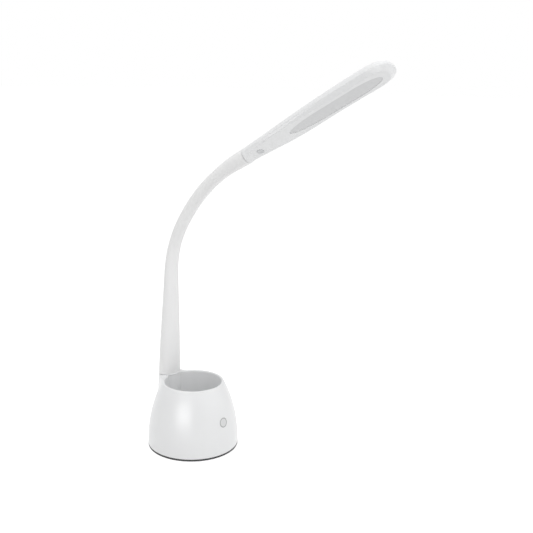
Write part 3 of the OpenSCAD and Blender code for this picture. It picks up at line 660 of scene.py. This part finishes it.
def chamfer(s):
    """(across, up) of the chamfer at s."""
    if s < CHAMFER_FROM:
        t = ease((s - FLAT_LEN) / (CHAMFER_FROM - FLAT_LEN))
        return mix(NECK_CHAMFER_W, SLIM_CHAMFER, t), mix(NECK_CHAMFER_H, SLIM_CHAMFER, t)
    t = ease((s - CHAMFER_FROM) / (WIDEN_LEN - CHAMFER_FROM))
    return mix(SLIM_CHAMFER, CHAMFER_W, t), mix(SLIM_CHAMFER, CHAMFER_H, t)


def outline(s):
    """Corner levels of the head's side at s, from the underside's edge to the middle of the top.

    Each is (inwards at the sides, inwards at the tip, height at the sides, height at the tip,
    angle on the neck)."""
    cw, ch = chamfer(s)
    w = half_width(s)
    widened = ease(s / WIDEN_LEN)
    top = mix(NECK_R, TOP_HEIGHT, widened)
    crown_w = mix(NECK_R, CROWN_SHARE * HEAD_HALF_W, widened)
    crown_h = mix(NECK_R, CROWN_R, widened)
    part = max(ch - FLAT_DEPTH + PART_OVER, PART_V)
    tip_part = CHAMFER_TIP_H - FLAT_DEPTH + PART_OVER
    side = max(top - crown_h, part + PART_OVER)
    tip_side = TOP_HEIGHT - TIP_DROP - CROWN_R
    levels = {
        "flat": np.array([cw, CHAMFER_TIP, -FLAT_DEPTH, -FLAT_DEPTH, FLAT_DEG]),
        "crease": np.array([0.0, 0.0, ch - FLAT_DEPTH, CHAMFER_TIP_H - FLAT_DEPTH, CREASE_DEG]),
        "part": np.array([0.0, 0.0, part, tip_part, PART_DEG]),
        "side": np.array([0.0, 0.0, side, tip_side, CROWN_DEGS[0]]),
    }
    crown = []
    spans = len(CROWN_DEGS) - 1
    for i in range(CROWN_STEPS + 1):
        a = math.pi / 2 * i / CROWN_STEPS
        j = spans * i / CROWN_STEPS
        k = min(spans - 1, int(j))
        crown.append(np.array([
            crown_w if i == CROWN_STEPS else min(w, crown_w * (1 - math.cos(a))),
            TIP_CROWN * (1 - math.cos(a)),
            side * (1 - math.sin(a)) + top * math.sin(a),
            tip_side * (1 - math.sin(a)) + (TOP_HEIGHT - TIP_DROP) * math.sin(a),
            mix(CROWN_DEGS[k], CROWN_DEGS[k + 1], j - k),
        ]))
    return levels, crown


def rounded(before, corner, after, size):
    """Points that round the corner between two others, as far as size from it."""
    reach_a, reach_b = (
        min(CORNER_REACH, size / max(TINY, np.linalg.norm((other - corner)[[0, 2]])))
        for other in (before, after))
    a, b = corner + (before - corner) * reach_a, corner + (after - corner) * reach_b
    return [
        a * (1 - t) ** 2 + corner * 2 * t * (1 - t) + b * t ** 2
        for t in (i / CORNER_STEPS for i in range(CORNER_STEPS + 1))
    ]


def groove_levels(part, sign):
    """The edge of one shell at the parting line, outermost first. sign is its side of the line."""
    return [part + np.array([inward, inward, sign * height, sign * height, 0.0])
            for inward, height in GROOVE]


def bottom_levels(s):
    """From the flat underside, over its edge and the chamfer, to the parting line."""
    levels, _ = outline(s)
    flat, crease, part = levels["flat"], levels["crease"], levels["part"]
    rows = rounded(flat + FLAT_INNER, flat, crease, EDGE_R)
    rows += [mix(rows[-1], crease, t) for t in (0.25, 0.5)]
    rows += rounded(flat, crease, part + (part - crease), CREASE_R)
    return rows + groove_levels(part, -1)


def top_levels(s):
    """From the parting line up the side and over the crown."""
    levels, crown = outline(s)
    part, side = levels["part"], levels["side"]
    return groove_levels(part, 1)[::-1] + [mix(part, side, 0.5)] + crown


def side_xv(level, s):
    """(across, up) of a level on the head's side at s, blended from the round neck."""
    a = math.radians(level[4])
    neck = (NECK_R * math.cos(a), NECK_R * math.sin(a))
    t = ease(s / FLAT_LEN)
    return mix(neck[0], half_width(s) - level[0], t), mix(neck[1], level[2], t)


def tip_xvs(level, angle):
    """(across, up, along) of a level at an angle round the tip."""
    c, n = math.cos(angle) ** (2 / TIP_POWER), math.sin(angle) ** (2 / TIP_POWER)
    x = (half_width(TIP_S) - level[0]) * c
    height = mix(level[2], level[3], math.sin(angle) ** 2)
    return x, height, TIP_S + (TIP_LEN - level[1]) * n


def level_rings(make_levels):
    """Rings of one shell: one per level, from the neck round the tip and back."""
    def side_column(s, inset=0.0):
        shrink = 1 - inset / NECK_R
        return [(x * shrink, v * shrink, s)
                for x, v in (side_xv(level, s) for level in make_levels(s))]

    half = [side_column(s, inset) for s, inset in EDGE_STATIONS]
    half += [side_column(s) for s in SIDE_STATIONS]
    at_tip = make_levels(TIP_S)
    half += [[tip_xvs(level, a) for level in at_tip] for a in TIP_ANGLES]
    nose = [(0.0, *tip_xvs(level, math.pi / 2)[1:]) for level in at_tip]
    columns = half + [nose] + [[(-x, v, s) for x, v, s in column] for column in reversed(half)]
    return [[column[j] for column in columns] for j in range(len(at_tip))]


def shell_faces(rings):
    n = len(rings[0])
    return [(i * n + k, (i + 1) * n + k, (i + 1) * n + k + 1, i * n + k + 1)
            for i in range(len(rings) - 1) for k in range(n - 1)]


LENS_STEPS, LENS_SIDE_STEPS = 48, 12
LENS_POINT_GROWTH, LENS_W_POWER, LENS_L_POWER = 1.5, 0.9, 0.95
FILL_MERGE = 1e-5


def lens_outline(grow):
    """Closed outline of the diffuser as (across, along), grown by grow."""
    w, round_l = LENS_HALF_W + grow, LENS_ROUND + grow
    point = LENS_POINT + LENS_POINT_GROWTH * grow
    s1, s2 = LENS_START + LENS_POINT, LENS_START + LENS_LEN - LENS_ROUND
    quarter = [math.pi / 2 * (i / LENS_STEPS) for i in range(LENS_STEPS + 1)]
    half = [(w * math.sin(a), s1 - point * math.cos(a)) for a in quarter]
    half += [(w, mix(s1, s2, i / LENS_SIDE_STEPS)) for i in range(1, LENS_SIDE_STEPS)]
    half += [
        (w * math.cos(a) ** LENS_W_POWER, s2 + round_l * math.sin(a) ** LENS_L_POWER)
        for a in quarter]
    half[-1] = (0.0, half[-1][1])
    return half + [(-x, s) for x, s in reversed(half[1:-1])]


def inside(x, s, shape):
    hit = False
    for (x1, s1), (x2, s2) in zip(shape, shape[1:] + shape[:1]):
        if (s1 > s) != (s2 > s) and x < x1 + (s - s1) * (x2 - x1) / (s2 - s1):
            hit = not hit
    return hit


def fill_with_holes(outer, holes):
    """Triangles of a flat shape with holes, as points and faces."""
    points, edges = [], []
    for shape in [outer] + holes:
        first = len(points)
        points += [Vector(p) for p in shape]
        edges += [(first + i, first + (i + 1) % len(shape)) for i in range(len(shape))]
    found = delaunay_2d_cdt(points, edges, [], 0, FILL_MERGE)
    kept = []
    for face in found[2]:
        x = sum(found[0][i].x for i in face) / len(face)
        s = sum(found[0][i].y for i in face) / len(face)
        if inside(x, s, outer) and not any(inside(x, s, hole) for hole in holes):
            kept.append(tuple(face))
    return [(p.x, p.y) for p in found[0]], kept


def circle(r, s):
    angles = [2 * math.pi * k / ROUND_SIDES for k in range(ROUND_SIDES)]
    return [(r * math.cos(a), s + r * math.sin(a)) for a in angles]


UNDER_STEPS, HOLE_TOP_V = 10, -1.7


def head_bottom():
    """The lower shell: its side, the underside with its window and hole, and their walls."""
    rings = level_rings(bottom_levels)
    n = len(rings[0])
    points = [p for ring in rings for p in ring]
    faces = shell_faces(rings)
    # the underside near the neck, in rows from one side to the other
    edge = rings[0]
    flat_at = len(EDGE_STATIONS) + sum(1 for s in SIDE_STATIONS if s <= FLAT_LEN + TINY) - 1
    rows = []
    for i in range(flat_at + 1):
        x0, v0, s = edge[i]
        neck_r = math.hypot(x0, v0) if i <= len(EDGE_STATIONS) else NECK_R
        roundness = 1 - ease(s / FLAT_LEN)
        edge_height = math.sqrt(max(0.0, neck_r ** 2 - x0 * x0))
        row = [i]
        for k in range(1, UNDER_STEPS):
            x = (1 - 2 * k / UNDER_STEPS) * x0
            bulge = (math.sqrt(max(0.0, neck_r ** 2 - x * x)) - edge_height) * roundness
            row.append(len(points))
            points.append((x, v0 - bulge, s))
        rows.append(row + [n - 1 - i])
    for r1, r2 in zip(rows, rows[1:]):
        faces += [(r1[k], r1[k + 1], r2[k + 1], r2[k]) for k in range(UNDER_STEPS)]
    # the flat underside with the window and the button's hole
    loop = [edge[i] for i in range(flat_at, n - flat_at)]
    start = [points[i] for i in rows[-1]][1:-1]
    outer = [(x, s) for x, v, s in loop] + [(x, s) for x, v, s in reversed(start)]
    window, hole = lens_outline(SLIP), circle(BUTTON_R + SLIP, BUTTON_S)
    flat_points, flat_faces = fill_with_holes(outer, [window, hole])
    first = len(points)
    points += [(x, -FLAT_DEPTH, s) for x, s in flat_points]
    faces += [tuple(first + i for i in face) for face in flat_faces]
    # the walls of the window and of the hole
    for shape, depth in ((window, FLANGE_LOW), (hole, HOLE_TOP_V)):
        first = len(points)
        points += [(x, -FLAT_DEPTH, s) for x, s in shape] + [(x, depth, s) for x, s in shape]
        m = len(shape)
        faces += [(first + k, first + m + k, first + m + (k + 1) % m, first + (k + 1) % m)
                  for k in range(m)]
    return points, faces


CROWN_ROWS = 6


def head_top():
    """The upper shell: its side, and the crown closed from its last level across."""
    rings = level_rings(top_levels)
    n = len(rings[0])
    points = [p for ring in rings for p in ring]
    faces = shell_faces(rings)
    last = (len(rings) - 1) * n
    rows = []
    for i in range(n // 2):
        x, v, s = rings[-1][i]
        row = [last + i]
        for k in range(1, CROWN_ROWS):
            row.append(len(points))
            points.append((x * (1 - 2 * k / CROWN_ROWS), v, s))
        rows.append(row + [last + n - 1 - i])
    for r1, r2 in zip(rows, rows[1:]):
        faces += [(r1[k], r1[k + 1], r2[k + 1], r2[k]) for k in range(CROWN_ROWS)]
    faces += [(rows[-1][k], rows[-1][k + 1], last + n // 2) for k in range(CROWN_ROWS)]
    return points, faces


# the diffuser's edge, as (grown by, above its face), and its flange
LENS_EDGE = ((-0.3, 0.0), (-0.1, 0.02), (0.02, 0.08), (0.07, 0.2))
FLANGE_OUT, FLANGE_T = 1.2, 1.2


def diffuser_mesh():
    """The diffuser's plate with a rounded edge and its flange."""
    face_v = -FLAT_DEPTH + LENS_RECESS
    levels = [(grow, face_v + above) for grow, above in LENS_EDGE]
    levels += [(LENS_EDGE[-1][0], FLANGE_LOW), (FLANGE_OUT, FLANGE_LOW),
               (FLANGE_OUT, FLANGE_LOW + FLANGE_T)]
    rings = [[(x, v, s) for x, s in lens_outline(grow)] for grow, v in levels]
    points = [p for ring in rings for p in ring]
    faces = ring_faces(len(rings), len(rings[0]))
    for ring in (rings[0], rings[-1]):
        flat, found = fill_with_holes([(x, s) for x, v, s in ring], [])
        first = len(points)
        points += [(x, ring[0][1], s) for x, s in flat]
        faces += [tuple(first + j for j in face) for face in found]
    return points, faces


# the push button's dish, as (radius, above its rim), and its flange
BUTTON_DISH = ((0.0, 0.25), (1.4, 0.22), (2.6, 0.12), (3.3, 0.03), (3.7, 0.0), (4.0, 0.06),
               (4.2, 0.2), (BUTTON_R, 0.5))
BUTTON_FLANGE_R, BUTTON_FLANGE_V, BUTTON_TOP_V = BUTTON_R + 1, -1.5, -0.5


def button_mesh():
    """The push button: a shallow dish with a rounded rim."""
    low = -FLAT_DEPTH - BUTTON_PROUD
    profile = [(r, low + above) for r, above in BUTTON_DISH]
    profile += [(BUTTON_R, BUTTON_FLANGE_V), (BUTTON_FLANGE_R, BUTTON_FLANGE_V),
                (BUTTON_FLANGE_R, BUTTON_TOP_V), (0.0, BUTTON_TOP_V)]
    points = [(x, v, s) for r, v in profile for x, s in circle(r, BUTTON_S)]
    return points, ring_faces(len(profile), ROUND_SIDES)


def add_head_piece(name, points, faces, material):
    """A piece in the head's own (across, up, along), welded and sharp only at real edges."""
    obj = add_piece(name, [head_point(*p) for p in points], faces, material)
    weld(obj, HEAD_SHARP_DEG)
    return obj


LEVEL_ENOUGH, NECK_SLACK = 0.9, 0.01


def flatten_normals(obj, direction, depth):
    """Points on the flat underside get its own normal, so its long triangles shade evenly."""
    mesh = obj.data
    flat = np.array(direction)
    origin = np.array(HEAD_AT) * MM
    normals = [tuple(corner.vector) for corner in mesh.corner_normals]
    for polygon in mesh.polygons:
        if abs(np.dot(np.array(polygon.normal), flat)) < LEVEL_ENOUGH:
            continue
        for loop in polygon.loop_indices:
            from_head = np.array(mesh.vertices[mesh.loops[loop].vertex_index].co) - origin
            on_flat = abs(np.dot(from_head, HEAD_UP) - depth * MM) < SAME_PLACE
            if on_flat and np.dot(from_head, HEAD_ALONG) > (FLAT_LEN - NECK_SLACK) * MM:
                normals[loop] = tuple(flat)
    mesh.normals_split_custom_set(normals)


bottom = add_head_piece("head_bottom_skin", *head_bottom(), white_gloss)
flatten_normals(bottom, -HEAD_UP, -FLAT_DEPTH)
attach(bottom, "head")
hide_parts("head_bottom_shell")

top = add_head_piece("head_top_skin", *head_top(), white_gloss)
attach(top, "head")
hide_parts("head_top_shell")

lens = add_head_piece("diffuser_skin", *diffuser_mesh(), diffuser_white)
flatten_normals(lens, -HEAD_UP, -FLAT_DEPTH + LENS_RECESS)
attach(lens, "head")
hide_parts("diffuser")

button = add_head_piece("head_button_skin", *button_mesh(), button_grey)
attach(button, "head_button")
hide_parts("head_button")


# ---------- floor, lamps and camera ----------

FLOOR_HALF, FLOOR_WHITE, FLOOR_GLOW = 20.0, 0.9, 0.5
WORLD_SOFT, WORLD_SEEN = 0.63, 1.0
LAMP_AIM = (0.0, -0.1, 0.2)
# name, place, aim, size and power
LAMPS = (
    ("key_box", (-0.8, -0.5, 1.65), LAMP_AIM, (1.0, 1.0), 7.2),
    ("back_box", (-0.9, 0.8, 1.5), LAMP_AIM, (1.2, 1.2), 2.0),
    ("top_box", (0.1, 0.2, 1.7), LAMP_AIM, (1.2, 1.2), 3.0),
    ("front_box", (0.5, -1.5, 0.7), (0.0, 0.0, 0.15), (2.4, 1.3), 6.6),
)
PANEL = ("left_panel", (-1.18, -0.41, 0.27), (-0.045, -0.028, 0.06), (0.85, 0.42), 7.1)

IMAGE_PX, FOCAL_PX, SENSOR_MM = 533.0, 804.43, 36.0
CAMERA_AT = (-0.71079, -0.7254, 0.48785)
CAMERA_RIGHT, CAMERA_FORWARD = (0.64952, -0.76006, 0.02102), (0.74271, 0.62829, -0.23159)


def seen_rays(nodes, links):
    """1 where a surface or the world is seen directly, in a reflection or through glass, else 0."""
    path = nodes.new("ShaderNodeLightPath")
    value = path.outputs["Is Camera Ray"]
    for name in ("Is Glossy Ray", "Is Transmission Ray"):
        larger = nodes.new("ShaderNodeMath")
        larger.operation = "MAXIMUM"
        links.new(value, larger.inputs[0])
        links.new(path.outputs[name], larger.inputs[1])
        value = larger.outputs["Value"]
    return value


def white_floor():
    """A matt floor that looks white where it is seen and keeps the shadow on it."""
    material, nodes, links, shader = new_material("floor_white")
    shader.inputs["Base Color"].default_value = (FLOOR_WHITE, FLOOR_WHITE, FLOOR_WHITE, 1.0)
    shader.inputs["Roughness"].default_value = 1.0
    shader.inputs["Specular IOR Level"].default_value = 0.0
    shader.inputs["Emission Color"].default_value = (1.0, 1.0, 1.0, 1.0)
    glow = nodes.new("ShaderNodeMath")
    glow.operation = "MULTIPLY"
    glow.inputs[1].default_value = FLOOR_GLOW
    links.new(seen_rays(nodes, links), glow.inputs[0])
    links.new(glow.outputs["Value"], shader.inputs["Emission Strength"])
    mesh = bpy.data.meshes.new("floor")
    corners = [(x * FLOOR_HALF, y * FLOOR_HALF, 0.0)
               for x, y in ((-1, -1), (1, -1), (1, 1), (-1, 1))]
    mesh.from_pydata(corners, [], [(0, 1, 2, 3)])
    mesh.materials.append(material)
    obj = bpy.data.objects.new("floor", mesh)
    bpy.context.scene.collection.objects.link(obj)


def studio_world():
    """An even, soft light that is white where it is seen."""
    world = bpy.data.worlds.new("studio")
    bpy.context.scene.world = world
    world.use_nodes = True
    nodes, links = world.node_tree.nodes, world.node_tree.links
    level = nodes.new("ShaderNodeMapRange")
    level.inputs["To Min"].default_value = WORLD_SOFT
    level.inputs["To Max"].default_value = WORLD_SEEN
    links.new(seen_rays(nodes, links), level.inputs["Value"])
    links.new(level.outputs["Result"], nodes["Background"].inputs["Strength"])
    nodes["Background"].inputs["Color"].default_value = (1.0, 1.0, 1.0, 1.0)


def area_lamp(name, at, to, size, power):
    data = bpy.data.lights.new(name, "AREA")
    data.shape = "RECTANGLE"
    data.size, data.size_y = size
    data.energy = power
    lamp = bpy.data.objects.new(name, data)
    bpy.context.scene.collection.objects.link(lamp)
    lamp.location = at
    lamp.rotation_euler = (Vector(to) - Vector(at)).to_track_quat("-Z", "Y").to_euler()
    return lamp


white_floor()
studio_world()
for lamp_facts in LAMPS:
    area_lamp(*lamp_facts)
# a panel that adds no diffuse light, and shows only as the soft highlight on the bell
panel = area_lamp(*PANEL)
panel.visible_diffuse = False

camera_data = bpy.data.cameras.new("camera")
camera_data.sensor_width = SENSOR_MM
camera_data.lens = SENSOR_MM * FOCAL_PX / IMAGE_PX
camera = bpy.data.objects.new("camera", camera_data)
bpy.context.scene.collection.objects.link(camera)
right = Vector(CAMERA_RIGHT).normalized()
forward = Vector(CAMERA_FORWARD).normalized()
up = right.cross(forward)
right = forward.cross(up)
camera.matrix_world = Matrix((
    (right.x, up.x, -forward.x, CAMERA_AT[0]),
    (right.y, up.y, -forward.y, CAMERA_AT[1]),
    (right.z, up.z, -forward.z, CAMERA_AT[2]),
    (0.0, 0.0, 0.0, 1.0),
))
bpy.context.scene.camera = camera
bpy.context.scene.view_settings.view_transform = "Standard"
